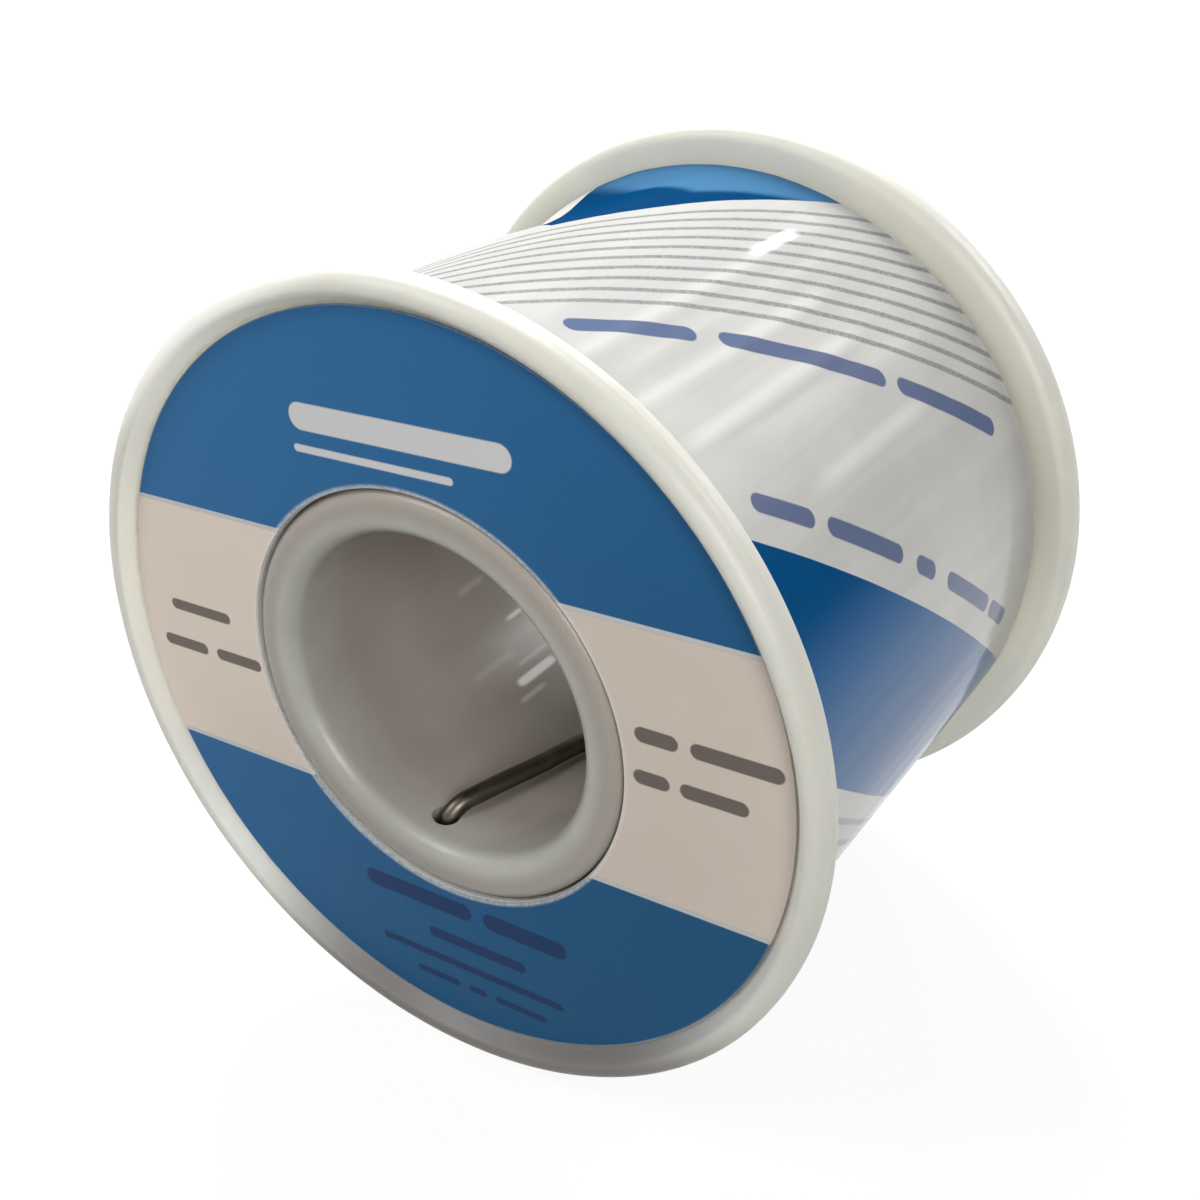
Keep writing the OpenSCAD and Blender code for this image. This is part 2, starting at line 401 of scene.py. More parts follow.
flangePlastic = makeFlangePlastic()
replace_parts(makeFlange("labelledFlange", -1, flangePlastic), "front_flange")
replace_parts(makeFlange("plainFlange", 1, flangePlastic), "rear_flange")
print("solder reel: flanges made")


# ---- barrel: the same plastic, but thin enough that the dark wire greys its wall, with painted shade deeper in the bore ----
barrel = {
    "outer": 13.6, "collar": 13.0, "webIn": flange["webIn"], "end": 18.1,
    "bore": 10.25, "guide": 10.05, "guideFrom": 5.1, "lip": 1.1, "collarRound": 0.8,
    "steps": 300,
    "holeAlong": -15.4, "holeTurn": 8.0, "holeRadius": 0.88,
    "streaks": 46 / 6.3,    # noise steps per radian: about 46 fine lines that the core pin drew
    # deeper ones, raised and painted pale as glints: turn from straight up towards +X, from and to along the
    # axis, half width, strength
    "dragsAndGlints": [
        (-150, -2.6, 1.4, 0.52, 1.0), (-127, 0.2, 2.0, 0.36, 0.50), (-138.5, -5.4, -1.0, 0.60, 0.16),
        (-156, -3.8, -0.9, 0.40, 0.30), (-107.5, -3.0, -0.2, 0.60, 0.20), (-144, -1.5, 2.0, 0.35, 0.22),
    ],
    "paleTones": ((0.410, 0.412, 0.367), (0.440, 0.442, 0.397)),
    "darkTones": ((0.315, 0.280, 0.252), (0.342, 0.308, 0.278)),
    "collarTone": (0.360, 0.331, 0.292), "paintedLowShade": (0.27, 0.26, 0.235), "paintedFarLight": (0.62, 0.59, 0.53),
    "seamTone": (0.16, 0.14, 0.12), "dragGlintTone": (0.95, 0.94, 0.92),
    "lightReach": 0.0016,   # how far light travels inside the plastic, in metres
}


def makeBarrelPlastic():
    material, tree, place, x, y, z = startFinish("greyedBarrelPlastic")
    b = barrel
    radius = reach(tree, x, z)
    cloud = grain(tree, place, 0.22, 3)
    pale = blendColour(tree, ramp(tree, cloud, 0.35, 0.65), *b["paleTones"])
    # the collar is duller outside its lip, and painted shade darkens it low at the left
    pale = tint(tree, pale, b["collarTone"], ramp(tree, radius, 11.1, 12.0))
    lowLeft = facing(tree, x, z, -0.45, -0.9)
    pale = tint(tree, pale, b["paintedLowShade"], ramp(tree, lowLeft, 8.0, 12.5, 0.0, 0.6))
    dark = blendColour(tree, ramp(tree, cloud, 0.3, 0.7), *b["darkTones"])
    # behind the flanges no wire lies against the wall, so it pales towards both mouths; this darkening
    # inwards is also painted shade in the bore
    depth = plus(tree, calc(tree, "ABSOLUTE", y), times(tree, cloud, 1.2))
    colour = blendColour(tree, ramp(tree, depth, 13.4, 18.2), dark, pale)
    # painted light makes the bore paler in its far half, where light comes in through the plain end
    farLight = times(tree, ramp(tree, y, 0.0, 7.0), ramp(tree, radius, 10.8, 10.4))
    colour = tint(tree, colour, b["paintedFarLight"], farLight, 0.6)
    # dirt in the seam between the collar and the flange
    colour = tint(tree, colour, b["seamTone"], ramp(tree, radius, 12.80, 12.98), 0.7)
    # the drag marks are raised, and painted pale as glints
    dragsAndGlints = None
    for turn, low, high, wide, share in b["dragsAndGlints"]:
        mark = times(tree, axisLine(tree, x, z, turn, wide), between(tree, y, low, high, 0.5), share)
        dragsAndGlints = most(tree, dragsAndGlints, mark)
    colour = tint(tree, colour, b["dragGlintTone"], ramp(tree, dragsAndGlints, 0.0, 0.75))
    drawn = grain(tree, place, 1.0, 3, 0.6, (2.4, 0.06, 2.4))
    peel = grain(tree, place, 1.6, 2)
    roughness = minus(tree, ramp(tree, drawn, 0.3, 0.7, 0.29, 0.35), times(tree, dragsAndGlints, 0.12))
    height = plus(tree, times(tree, drawn, 0.10), times(tree, peel, 0.12))
    height = plus(tree, height, times(tree, dragsAndGlints, 0.5))
    endFinish(tree, colour, roughness, height, 0.03,
              Subsurface_Weight=0.60, Subsurface_Scale=b["lightReach"], Subsurface_Radius=(1.0, 0.9, 0.75),
              Specular_IOR_Level=0.32, Coat_Weight=0.04, Coat_Roughness=0.2)
    return material


def barrelOutline():
    b = barrel
    end, lip, edge = b["end"], b["lip"], b["collarRound"]
    shape = curve(b["bore"] + lip, -end + lip, lip, 180, 270, 10)
    shape += curve(b["collar"] - edge, -end + edge, edge, 270, 360, 8)
    shape += [(b["collar"], -b["webIn"]), (b["outer"], -b["webIn"])]
    shape += line(shape[-1], (b["outer"], b["webIn"]), 12)
    shape += [(b["collar"], b["webIn"])]
    shape += curve(b["collar"] - edge, end - edge, edge, 0, 90, 8)
    shape += curve(b["guide"] + lip, end - lip, lip, 90, 180, 10)
    shape += line(shape[-1], (b["guide"], b["guideFrom"]), 16)
    shape += line(shape[-1], (b["bore"], b["guideFrom"] - 0.2), 2)
    shape += line(shape[-1], shape[0], 60)[:-1]
    return shape


def makeBarrel(plastic):
    b = barrel

    def shift(angle, radius, along):
        if radius > 10.6 or abs(along) > 17:
            return 0, 0
        # low ridges along the wall, deepest where the core pin dragged
        c, n = math.cos(angle) * b["streaks"], math.sin(angle) * b["streaks"]
        return 0.004 * max(0, wobble(c, n, along * 0.03) - 0.1), 0

    points, faces = turned(barrelOutline(), b["steps"], shift)
    piece = pieceFrom("barrelTube", points, faces, plastic, 30)
    # the hole that the wire starts through
    a = math.radians(b["holeTurn"])
    down = Vector((-math.sin(a), 0, -math.cos(a)))
    rodWay = [Vector((0, b["holeAlong"], 0)) + down * reached for reached in (9, 12, 15)]
    rod, rodFaces = tube(rodWay, b["holeRadius"], 40)
    cutter = pieceFrom("holeCutter", rod, rodFaces, plastic)
    cut = piece.modifiers.new("wireHole", "BOOLEAN")
    cut.operation = "DIFFERENCE"
    cut.solver = "EXACT"
    cut.object = cutter
    shaped = bpy.data.meshes.new_from_object(piece.evaluated_get(bpy.context.evaluated_depsgraph_get()))
    piece.modifiers.clear()
    piece.data = shaped
    shaped.set_sharp_from_angle(angle=math.radians(30))
    bpy.data.objects.remove(cutter)
    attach(piece, "root")
    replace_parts(piece, "barrel")


makeBarrel(makeBarrelPlastic())
print("solder reel: barrel made")


# ---- solder wire: the winding, and the start that comes through the barrel ----
winding = {
    "wire": 1.2, "turnRadius": 21.95, "halfWidth": 16.3,
    "shown": 0.595,         # the wire's radius, a hair thin so that turns and plastic don't touch
    "ringsPerTurn": 60, "sides": 10,
    "sag": 1.00, "sagTurn": -24.0, "sagSpread": 19.0,      # depth in millimetres, place and spread in degrees
    "grainWays": (0.6, 7.0, 0.6),
    "tones": ((0.60, 0.60, 0.61), (0.42, 0.41, 0.40), (0.30, 0.29, 0.27)),     # bright, dull, drawn
}
start = {
    "fromRadius": barrel["outer"], "along": barrel["holeAlong"], "turn": barrel["holeTurn"],
    "bend": 1.8, "seat": 9.6,       # the bend's radius, and how far from the axis the bend brings the wire
    "length": 14.0, "yaw": 18.5, "climb": 2.0,      # the straight run, and its turn towards +X and up
    "step": 0.18, "bendSteps": 16, "sides": 24,
    "wave": 0.10,                   # how far the straight run strays
    "snip": 0.9, "snipWide": 0.10, "snipThin": 0.62,    # length of the cut end, and how it is flattened
    "fluxRadius": 0.23,
    "grainWays": (1.6, 0.3, 1.6),
    # its tones are painted darker than the winding's, as shade from the dark bore it lies in
    "tones": ((0.175, 0.157, 0.125), (0.115, 0.103, 0.082), (0.085, 0.075, 0.062)),
    "holeShadeTone": (0.05, 0.045, 0.038),
    "rosinTones": ((0.42, 0.20, 0.04), (0.62, 0.36, 0.10)),
}


def makeSolder(name, look):
    material, tree, place, x, y, z = startFinish(name)
    bright, dull, drag = look["tones"]
    tarnish = grain(tree, place, 0.5, 4, 0.6)
    drawn = grain(tree, place, 1.0, 4, 0.6, look["grainWays"])
    colour = blendColour(tree, ramp(tree, tarnish, 0.35, 0.7), bright, dull)
    colour = tint(tree, colour, drag, ramp(tree, drawn, 0.55, 0.75, 0.0, 0.4))
    # painted shade: inside the reel, where it leaves the hole, it is painted nearly black
    holeShade = times(tree, ramp(tree, reach(tree, x, z), 13.0, 12.0), ramp(tree, y, -13.8, -14.8))
    colour = tint(tree, colour, start["holeShadeTone"], holeShade, 0.7)
    roughness = ramp(tree, plus(tree, drawn, times(tree, tarnish, 0.5)), 0.5, 1.0, 0.27, 0.42)
    height = plus(tree, times(tree, drawn, 0.6), times(tree, tarnish, 0.4))
    endFinish(tree, colour, roughness, height, 0.010, Metallic=1.0)
    return material


def sag(angle, along):
    # the turns lie a little low at one place towards the plain end, and the paper follows them
    place = math.degrees(math.atan2(math.sin(angle), math.cos(angle)))
    ends = (0.38 + 0.62 * soft(along, -2, 8)) * soft(along, -16.2, -13) * (1 - soft(along, 13, 16.2))
    return math.exp(-((place - winding["sagTurn"]) / winding["sagSpread"]) ** 2) * ends


def makeWinding(metal):
    w = winding
    turns = int((2 * w["halfWidth"] - w["wire"]) / w["wire"])
    pitch = (2 * w["halfWidth"] - w["wire"]) / turns
    rings = turns * w["ringsPerTurn"]
    path = []
    for i in range(rings + 1):
        angle = 2 * math.pi * i / w["ringsPerTurn"]
        along = -w["halfWidth"] + w["wire"] / 2 + pitch * i / w["ringsPerTurn"]
        path.append(onAxis(angle, w["turnRadius"] - w["sag"] * sag(angle, along), along))
    points, faces = tube(path, w["shown"], w["sides"])
    piece = pieceFrom("outerTurns", points, faces, metal, 60)
    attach(piece, "root")
    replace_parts(piece, "solder_outer_layer")


def startPath():
    # leg through the hole, bend, then the straight run with the small waves of handled wire
    s = start
    a, yaw, climb = (math.radians(s[k]) for k in ("turn", "yaw", "climb"))
    leg = Vector((math.sin(a), 0, math.cos(a)))     # from the hole up to the axis
    way = Vector((math.sin(yaw) * math.cos(climb), math.cos(yaw) * math.cos(climb), math.sin(climb)))
    side = leg.cross(way).normalized().cross(leg)
    bendAngle = math.acos(leg.dot(way))
    bendStart = s["seat"] + s["bend"] * math.sin(bendAngle)
    corner = Vector((0, s["along"], 0)) - leg * bendStart

    def onBend(t):
        return corner + leg * (s["bend"] * math.sin(t)) + side * (s["bend"] * (1 - math.cos(t)))

    legLength = s["fromRadius"] - bendStart
    path = [corner - leg * (legLength - i * s["step"]) for i in range(int(legLength / s["step"]))]
    path += [onBend(bendAngle * i / s["bendSteps"]) for i in range(s["bendSteps"])]
    count = int(s["length"] / s["step"])
    for i in range(count + 1):
        run = s["length"] * i / count
        wave = Vector((wobble(run * 0.30, 2.0, 0), 0, 0.6 * wobble(run * 0.35, 8.0, 0)))
        path.append(onBend(bendAngle) + way * run + wave * s["wave"] * soft(run, 0, 3))
    return path


def makeStart(metal, rosin):
    s = start
    path = startPath()
    last = len(path) - 1
    snipRings = s["snip"] / s["step"]

    def squeeze(i):
        # side cutters flatten and spread the end
        press = soft(i, last - snipRings, last)
        return 1 + s["snipWide"] * press, 1 - s["snipThin"] * press

    points, faces = tube(path, winding["shown"], s["sides"], squeeze)
    wire = pieceFrom("wireStart", points, faces, metal, 50)
    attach(wire, "root")
    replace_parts(wire, "solder_start_tail")
    # the flux shows as an amber bead in the cut end: how far past the end, width and thickness of each ring
    rings = [(-0.5, 1.1, 0.55), (-0.1, 1.1, 0.55), (0.02, 1.0, 0.5), (0.06, 0.5, 0.25)]
    ahead = (path[-1] - path[-2]).normalized()
    bead = [path[-1] + ahead * past for past, wide, thick in rings]
    points, faces = tube(bead, s["fluxRadius"], 16, lambda i: rings[i][1:])
    flux = pieceFrom("fluxInWire", points, faces, rosin, 60)
    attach(flux, "root")
    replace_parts(flux, "rosin_flux_core")


def makeRosin():
    material, tree, place, *_ = startFinish("amberRosin")
    cloud = grain(tree, place, 6.0, 3)
    colour = blendColour(tree, ramp(tree, cloud, 0.3, 0.7), *start["rosinTones"])
    endFinish(tree, colour, ramp(tree, cloud, 0.3, 0.7, 0.15, 0.35), cloud, 0.02,
              Specular_IOR_Level=0.5, Coat_Weight=0.3)
    return material


woundSolder = makeSolder("woundSolder", winding)
makeWinding(woundSolder)
makeStart(makeSolder("shadeDarkenedSolder", start), makeRosin())
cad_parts["solder_inner_layers"].data.materials[0] = woundSolder     # hidden, shown as it is
print("solder reel: wire made")


# ---- printed strip round the winding ----
strip = {
    "radius": 22.76, "thick": 0.16, "halfWidth": 16.08,
    "lapMiddle": 205.0, "lapAngle": 18.0, "lapRise": 0.17,
    "steps": 1260, "rows": 48, "sag": 1.05,
    # soft ridges along the axis: turn, height, half width, from, to
    "ridges": [(20.4, 0.060, 0.45, -16, 3), (25.5, 0.020, 0.35, -13, 10), (30.6, 0.055, 0.45, -16, 5),
               (38.3, 0.065, 0.45, -14, 4), (43.0, 0.020, 0.40, -8, 12), (52.0, 0.050, 0.45, -7, 6)],
    "glintTurn": 19.2,
    "printTurn": 37.0, "printRadius": 22.85,
    # measured across the slanted print
    "bandFrom": -14.6, "bandWide": 10.95, "repeat": 39.7,
    "firstBand": (-19.0, -14.5), "stepAcross": (-8.9, -3.0), "stepAlong": -2.1,
    "ruleFrom": 12.65, "rulePitch": 1.306, "rules": 10, "ruleWide": 0.40,
    "words": [
        (26.9, 1.20, [(-6.5, 1.0), (2.4, 14.2), (15.2, 25.1)]),
        (37.5, 1.10, [(1.3, 6.0), (7.0, 14.2), (15.8, 18.2), (19.9, 27.4), (28.0, 32.1)]),
    ],
    "paperTones": ((0.545, 0.540, 0.518), (0.588, 0.586, 0.568)),
    "pulledSheenTone": (0.74, 0.74, 0.72), "ridgeSheenTone": (0.78, 0.78, 0.755),
    "paintedTopShading": (0.44, 0.44, 0.43), "flangeShadeTone": (0.34, 0.33, 0.30),
    "ruleTone": (0.15, 0.16, 0.17), "wordTone": (0.052, 0.095, 0.230),
    "blueTones": ((0.004, 0.100, 0.285), (0.0015, 0.068, 0.205)), "upperBlue": (0.0002, 0.044, 0.134),
    "speckBlue": (0.03, 0.16, 0.36), "sheenBlue": (0.062, 0.180, 0.332),
}


def stripPlaces(tree, x, y, z):
    # length round the reel, then places across and along the slanted print
    s = strip
    seamTurn = s["lapMiddle"] + s["lapAngle"] / 2 - 180     # hides the angle's jump under the lap
    sx, sz = turnPair(tree, x, z, seamTurn)
    around = plus(tree, calc(tree, "ARCTAN2", sx, sz), math.radians(seamTurn))
    arc = times(tree, around, s["printRadius"])
    across, along = turnPair(tree, arc, y, s["printTurn"])
    return arc, across, along


def stripPaper(tree, place, x, y, z, pulled):
    s = strip
    cloud = grain(tree, place, 0.12, 4)
    paper = blendColour(tree, ramp(tree, cloud, 0.35, 0.65), *s["paperTones"])
    # painted sheen: it is painted paler where it is pulled tight, and along its ridges
    paper = tint(tree, paper, s["pulledSheenTone"], ramp(tree, pulled, 0.40, 0.66, 0.0, 0.20))
    shine = None
    for turn, high, wide, low, top in s["ridges"]:
        crest = times(tree, axisLine(tree, x, z, turn, 2 * wide), between(tree, y, low, top, 2.0), high * 12)
        shine = most(tree, shine, crest)
    paper = tint(tree, paper, s["ridgeSheenTone"], shine)
    # painted shade: it is darker over the top, and below that towards the plain flange
    paper = tint(tree, paper, s["paintedTopShading"], ramp(tree, z, 18.5, 22.0, 0.0, 0.42))
    flangeShade = times(tree, ramp(tree, y, 6.0, 15.0), ramp(tree, z, 14.0, 8.0))
    return tint(tree, paper, s["flangeShadeTone"], flangeShade, 0.33)


def stripBand(tree, across, along, up):
    # where the strip starts, its first band is printed wider, and steps back near the labelled end
    s = strip
    band = most(tree, between(tree, up, 0.0, s["bandWide"]), between(tree, across, *s["firstBand"]))
    nearLabel = ramp(tree, along, s["stepAlong"] + 0.05, s["stepAlong"] - 0.05)
    stepBack = times(tree, between(tree, across, *s["stepAcross"]), nearLabel)
    return times(tree, band, minus(tree, 1.0, stepBack))


def stripRules(tree, up, inkNoise):
    s = strip
    first, pitch = s["ruleFrom"], s["rulePitch"]
    within = calc(tree, "FRACT", calc(tree, "DIVIDE", minus(tree, up, first - pitch / 2), pitch))
    share = s["ruleWide"] / pitch / 2
    zone = between(tree, up, first - 0.6, first + (s["rules"] - 1) * pitch + 0.6)
    worn = ramp(tree, inkNoise, 0.3, 0.7, 0.50, 0.76)
    return times(tree, between(tree, within, 0.5 - share, 0.5 + share, 0.06), zone, worn)


def stripBlue(tree, arc, y, z, inkNoise):
    s = strip
    # painted shade: the blue is darker higher up the reel
    blue = blendColour(tree, ramp(tree, z, 5.5, 11.0), *s["blueTones"])
    blue = tint(tree, blue, s["upperBlue"], ramp(tree, z, 14.0, 19.0))
    blue = tint(tree, blue, s["speckBlue"], ramp(tree, inkNoise, 0.3, 0.7, 0.0, 0.06))
    # painted sheen: towards the plain end the upper band is painted paler over the top of the reel, up to a
    # folded line
    fold = most(tree, times(tree, arc, 0.6), times(tree, arc, -0.45))
    pale = times(tree, ramp(tree, minus(tree, y, fold), 9.6, 10.9), ramp(tree, z, 18.0, 21.0))
    return tint(tree, blue, s["sheenBlue"], pale, 0.95)


def makeStripPrint():
    material, tree, place, x, y, z = startFinish("printedStripPaper")
    s = strip
    arc, across, along = stripPlaces(tree, x, y, z)
    up = calc(tree, "FLOORED_MODULO", minus(tree, across, s["bandFrom"]), s["repeat"])
    inkNoise = grain(tree, place, 5.0, 3)
    pulled = grain(tree, place, 1.0, 3, 0.55, (0.55, 0.035, 0.55))
    rule = stripRules(tree, up, inkNoise)
    word = bars(tree, along, up, s["words"])
    band = stripBand(tree, across, along, up)
    colour = tint(tree, stripPaper(tree, place, x, y, z, pulled), s["ruleTone"], rule)
    colour = tint(tree, colour, s["wordTone"], word, 0.86)
    colour = tint(tree, colour, stripBlue(tree, arc, y, z, inkNoise), band)
    fibre = grain(tree, place, 3.5, 4, 0.6)
    inked = most(tree, band, most(tree, rule, word))
    roughness = minus(tree, ramp(tree, fibre, 0.3, 0.7, 0.34, 0.44), times(tree, inked, 0.06))
    crinkle = grain(tree, place, 0.5, 3, 0.5, (1.0, 0.35, 1.0))
    height = plus(tree, times(tree, fibre, 0.12), times(tree, crinkle, 0.6))
    height = plus(tree, height, times(tree, pulled, 2.0))
    # the lacquer is rubbed thin over the top of the reel, but for one pressed crease that still glints
    crease = times(tree, axisLine(tree, x, z, s["glintTurn"], 0.6), between(tree, y, 4.4, 9.0, 1.0), 0.6)
    lacquer = most(tree, ramp(tree, z, 11.0, 3.0, 0.02, 0.75), crease)
    endFinish(tree, colour, roughness, height, 0.03,
              Specular_IOR_Level=0.0, Coat_Weight=lacquer, Coat_Roughness=0.1)
    return material


def ridge(angle, along):
    found = 0
    for turn, high, wide, low, top in strip["ridges"]:
        beside = math.sin(angle - math.radians(turn)) * strip["radius"]
        if abs(beside) < 4 * wide and math.cos(angle - math.radians(turn)) > 0:
            ends = soft(along, low - 2, low + 2) * (1 - soft(along, top - 4, top + 4))
            found += high * ends * math.exp(-(beside / wide) ** 2 / 2)
    return found


def paperRadius(angle, along, rise):
    # pulled over wire, it lies in long shallow flats, with a few creases along the axis
    s = strip
    c, n = math.cos(angle), math.sin(angle)
    flats = (0.060 * wobble(c * 3.1, n * 3.1, along * 0.012)
             + 0.035 * wobble(c * 8.5, n * 8.5, 4 + along * 0.03))
    crease = 0.014 * wobble(c * 21, n * 21, 9 + along * 0.05)
    turns = 0.004 * math.sin(2 * math.pi * along / winding["wire"])
    curl = 0.05 * soft(abs(along), 14.8, 16.1) * wobble(c * 4, n * 4, 20 if along > 0 else 30)
    radius = s["radius"] + rise + flats + crease + turns + curl + ridge(angle, along)
    return radius - s["sag"] * sag(angle, along)


def sheetFaces(steps, rows, under):
    # both sides and four edges of a sheet; its lower points start at under
    row = rows + 1
    faces = []
    for i in range(steps):
        for k in range(rows):
            a, b = i * row + k, i * row + k + 1
            c, d = a + row, b + row
            faces.append((a, b, d, c))
            faces.append((under + a, under + c, under + d, under + b))
        low, high = i * row, i * row + rows
        faces.append((low, low + row, under + low + row, under + low))
        faces.append((high, under + high, under + high + row, high + row))
    for k in range(rows):
        a, b = k, k + 1
        faces.append((a, under + a, under + b, b))
        c, d = steps * row + k, steps * row + k + 1
        faces.append((c, d, under + d, under + c))
    return faces


def makeStrip(paper):
    s = strip
    lap = math.radians(s["lapAngle"])
    first = math.radians(s["lapMiddle"] - s["lapAngle"] / 2)
    sweep = 2 * math.pi + lap
    outer, inner = [], []
    for i in range(s["steps"] + 1):
        turn = sweep * i / s["steps"]
        rise = s["lapRise"] * soft(turn, 2 * math.pi - lap * 0.35, 2 * math.pi + lap * 0.05)
        for k in range(s["rows"] + 1):
            along = s["halfWidth"] * (2 * k / s["rows"] - 1)
            radius = paperRadius(first + turn, along, rise)
            outer.append(onAxis(first + turn, radius, along))
            inner.append(onAxis(first + turn, radius - s["thick"], along))
    faces = sheetFaces(s["steps"], s["rows"], len(outer))
    piece = pieceFrom("printedStrip", outer + inner, faces, paper, 50)
    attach(piece, "root")
    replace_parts(piece, "wrap_label")


makeStrip(makeStripPrint())
print("solder reel: strip made")


# ---- printed ring on the labelled flange ----
disc = {
    "inner": 13.12, "outer": 23.08, "back": flange["webOut"], "thick": 0.14,
    "steps": 400, "rings": 34,
    "printTurn": 4.0,           # the print sits turned, its right side higher
    "printShift": (0.3, 0.3),
    "bandMiddle": 0.12, "bandHalf": 8.3, "edgeLine": 0.26,
    "paleRows": [(16.0, 1.6, [(-7.6, 7.3)]), (14.1, 0.45, [(-7.6, 3.4)])],
    "darkRows": [
        (1.3, 0.75, [(-20.7, -15.6)]),
        (-1.5, 0.80, [(-22.0, -18.2), (-17.4, -13.6)]),
        (2.2, 0.95, [(13.6, 16.2), (16.9, 22.2)]),
        (-0.45, 0.90, [(13.4, 15.6), (16.2, 20.2)]),
    ],
    "navyRows": [
        (-14.8, 1.25, [(-7.3, 1.0), (1.9, 8.0)]),
        (-17.4, 0.80, [(-2.6, 4.8)]),
        (-19.3, 0.55, [(-6.6, 7.4)]),
        (-20.9, 0.50, [(-4.0, -0.6), (0.1, 1.5), (2.2, 6.0)]),
    ],
    "blueTones": ((0.010, 0.078, 0.182), (0.027, 0.136, 0.316)), "speckTone": (0.05, 0.13, 0.26),
    "warmTones": ((0.610, 0.532, 0.462), (0.640, 0.564, 0.494)), "paintedLitWarm": (0.725, 0.640, 0.556),
    "bareTone": (0.70, 0.69, 0.66),
    "paleInk": (0.66, 0.66, 0.65), "darkInk": (0.060, 0.045, 0.040), "navyInk": (0.006, 0.020, 0.080),
}


def makeDiscPrint():
    material, tree, place, x, y, z = startFinish("printedRingPaper")
    d = disc
    right, high = turnPair(tree, x, z, -d["printTurn"])
    along, up = minus(tree, right, d["printShift"][0]), minus(tree, high, d["printShift"][1])
    radius = reach(tree, x, z)
    inkNoise = grain(tree, place, 4.0, 3)
    cloud = grain(tree, place, 0.10, 3)
    # painted light: the print is paler towards the upper left
    litShare = plus(tree, facing(tree, x, z, -0.8, 0.6), times(tree, cloud, 6.0))
    litShare = ramp(tree, litShare, -21.0, 25.0)
    blue = blendColour(tree, litShare, *d["blueTones"])
    blue = tint(tree, blue, d["speckTone"], ramp(tree, inkNoise, 0.4, 0.8, 0.0, 0.06))
    warm = blendColour(tree, ramp(tree, cloud, 0.3, 0.7), *d["warmTones"])
    warm = tint(tree, warm, d["paintedLitWarm"], ramp(tree, litShare, 0.45, 0.95))
    # the band, with a bare line along both its edges
    fromMiddle = calc(tree, "ABSOLUTE", minus(tree, up, d["bandMiddle"]))
    band = ramp(tree, fromMiddle, d["bandHalf"] + 0.05, d["bandHalf"] - 0.05)
    edge = between(tree, fromMiddle, d["bandHalf"], d["bandHalf"] + d["edgeLine"], 0.04)
    colour = tint(tree, blendColour(tree, band, blue, warm), d["bareTone"], edge, 0.75)
    for rows, ink, share in (("paleRows", "paleInk", 0.92), ("darkRows", "darkInk", 0.85),
                             ("navyRows", "navyInk", 0.80)):
        colour = tint(tree, colour, d[ink], bars(tree, along, up, d[rows]), share)
    # paper fibres fray pale at the die-cut edges
    fray = most(tree, ramp(tree, radius, 22.98, 23.07, 0.0, 0.4), ramp(tree, radius, 13.42, 13.18))
    colour = tint(tree, colour, d["bareTone"], fray, ramp(tree, inkNoise, 0.3, 0.7, 0.4, 0.7))
    fibre = grain(tree, place, 3.0, 4, 0.6)
    roughness = ramp(tree, fibre, 0.3, 0.7, 0.40, 0.50)
    height = plus(tree, times(tree, fibre, 0.3), times(tree, grain(tree, place, 0.35, 2), 1.5))
    endFinish(tree, colour, roughness, height, 0.02,
              Specular_IOR_Level=0.10, Coat_Weight=0.03, Coat_Roughness=0.3)
    return material


def makeDisc(paper):
    d = disc
    face = -d["back"] - d["thick"]
    outline = [(d["inner"], -d["back"]), (d["inner"], face)]
    outline += line(outline[-1], (d["outer"], face), d["rings"])
    outline += [(d["outer"], -d["back"])]

    def shift(angle, radius, along):
        if along > -d["back"] - 0.01:
            return 0, -0.004
        x, _, z = onAxis(angle, radius, 0)
        swell = 0.02 * wobble(x * 0.12, z * 0.12, 3.0) + 0.008 * wobble(x * 0.5, z * 0.5, 6.0)
        loose = max(0, wobble(math.cos(angle) * 2, math.sin(angle) * 2, 11.0))     # where the edge lifts
        return 0, -0.012 - swell - 0.03 * soft(radius, 22.0, 23.0) * loose

    points, faces = turned(outline, d["steps"], shift)
    piece = pieceFrom("printedRing", points, faces, paper, 50)
    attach(piece, "root")
    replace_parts(piece, "front_label")


makeDisc(makeDiscPrint())
print("solder reel: ring label made")


# ---- floor, light and backdrop ----
studio = {
    "floor": -25.0, "floorHalf": 1600.0,
    "floorTone": (0.16, 0.16, 0.157),   # what it throws back at the reel
    "floorWhite": (0.87, 1.0),          # added where it is seen, near the reel and far from it
    "nearAndFar": (0.06, 0.26),         # metres from the reel's middle
    "worldLight": 0.03,
    "lamps": [
        # name, turn round from the label towards +X, angle above level, distance, size, power, tone
        ("keyBox", 45, 26, 450, 260, 1.42, (1.0, 0.99, 0.975)),
        ("backBox", 223, 41, 450, 260, 3.10, (1.0, 1.0, 1.0)),
        ("leftBox", 318, 42, 450, 240, 0.92, (1.0, 1.0, 1.0)),
        ("boreBox", 150, 30, 450, 190, 0.66, (1.0, 1.0, 1.0)),
        ("glintBox", 190.8, 29.4, 450, 46, 0.15, (1.0, 1.0, 1.0)),
    ],
}


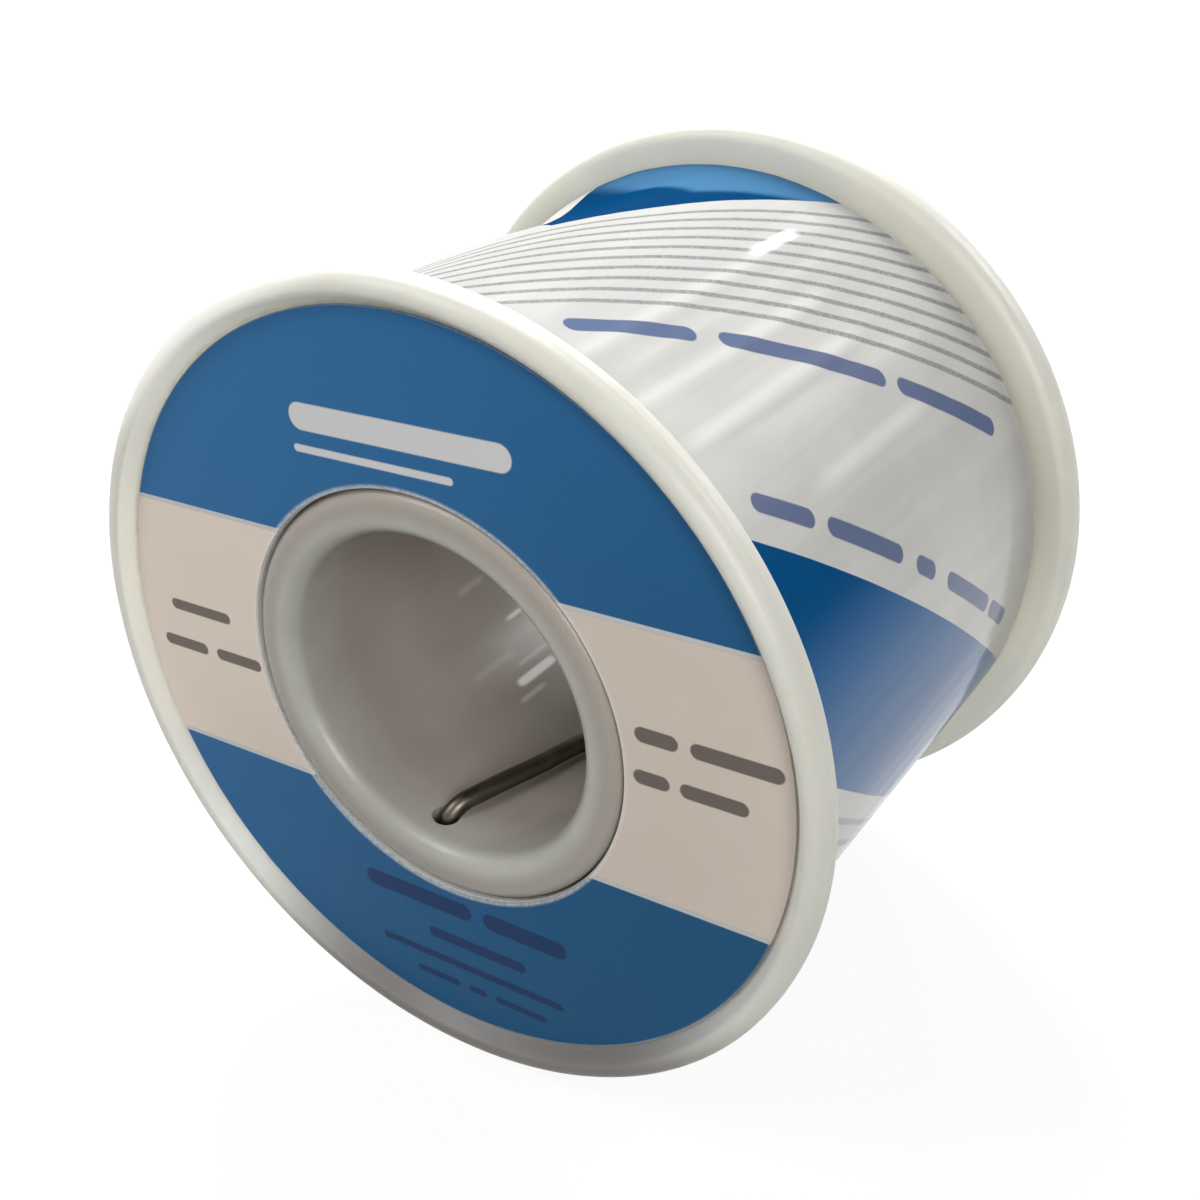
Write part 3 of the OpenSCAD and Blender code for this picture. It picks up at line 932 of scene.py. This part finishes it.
def whereSeen(tree):
    # 1 for what the camera, a gloss or clear stuff looks at, 0 for soft light
    rays = put(tree, "ShaderNodeLightPath").outputs
    return most(tree, rays["Is Camera Ray"], most(tree, rays["Is Glossy Ray"], rays["Is Transmission Ray"]))


def makeFloor():
    s = studio
    half, low = s["floorHalf"], s["floor"]
    points = [(-half, -half, low), (half, -half, low), (half, half, low), (-half, half, low)]
    material = bpy.data.materials.new("paleFloor")
    material.use_nodes = True
    tree = material.node_tree
    tree.nodes.clear()
    diffuse = put(tree, "ShaderNodeBsdfDiffuse", {"Color": (*s["floorTone"], 1)})
    where = put(tree, "ShaderNodeTexCoord").outputs["Object"]
    away = put(tree, "ShaderNodeVectorMath", {0: where}, operation="LENGTH").outputs["Value"]
    white = ramp(tree, away, *s["nearAndFar"], *s["floorWhite"])
    white = put(tree, "ShaderNodeEmission", {"Strength": times(tree, whereSeen(tree), white)})
    both = put(tree, "ShaderNodeAddShader", {0: diffuse.outputs[0], 1: white.outputs[0]})
    put(tree, "ShaderNodeOutputMaterial", {"Surface": both.outputs[0]})
    pieceFrom("paleFloor", points, [(0, 1, 2, 3)], material)


def makeLamps():
    for name, turn, above, away, size, power, tone in studio["lamps"]:
        data = bpy.data.lights.new(name, "AREA")
        data.shape = "DISK"
        data.size = size * mm
        data.energy = power
        data.color = tone
        lamp = bpy.data.objects.new(name, data)
        lamp.visible_camera = False
        bpy.context.scene.collection.objects.link(lamp)
        side, lift = math.radians(turn), math.radians(above)
        ray = Vector((math.sin(side) * math.cos(lift), -math.cos(side) * math.cos(lift), math.sin(lift)))
        lamp.location = ray * away * mm
        lamp.rotation_euler = (-ray).to_track_quat("-Z", "Y").to_euler()


def makeWorld():
    world = bpy.data.worlds.new("studioAir")
    bpy.context.scene.world = world
    world.use_nodes = True
    tree = world.node_tree
    tree.nodes.clear()
    strength = ramp(tree, whereSeen(tree), 0.0, 1.0, studio["worldLight"], 1.0)
    sky = put(tree, "ShaderNodeBackground", {"Color": (1, 1, 1, 1), "Strength": strength})
    put(tree, "ShaderNodeOutputWorld", {"Surface": sky.outputs[0]})


makeFloor()
makeLamps()
makeWorld()
bpy.context.scene.view_settings.view_transform = "Standard"
print("solder reel: studio made")
